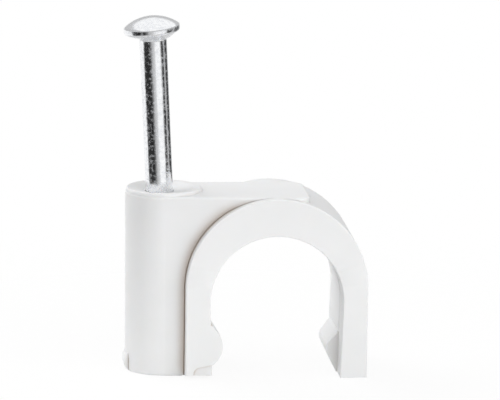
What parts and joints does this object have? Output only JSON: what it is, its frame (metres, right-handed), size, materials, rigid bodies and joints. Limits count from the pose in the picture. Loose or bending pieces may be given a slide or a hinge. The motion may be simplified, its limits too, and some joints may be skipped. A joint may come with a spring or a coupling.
{
  "type": "nail-in cable clip",
  "caption": "White moulded cable clip with an arch that holds a round cable to a wall and a boss that guides its steel nail.",
  "frame": {"origin": "middle of the part's box on the wall plane, where the clip's feet stand", "axes": "+Z out of the wall along the boss, +Y along the cable, +X from the nail's boss toward the arch"},
  "size_m": [0.0178, 0.0082, 0.0263],
  "materials": {
    "clip": "satin white moulded polypropylene",
    "nail": "bright zinc plated"
  },
  "bodies": {
    "root": {"clip_body": "clip", "nail": "nail"}
  },
  "joints": []
}
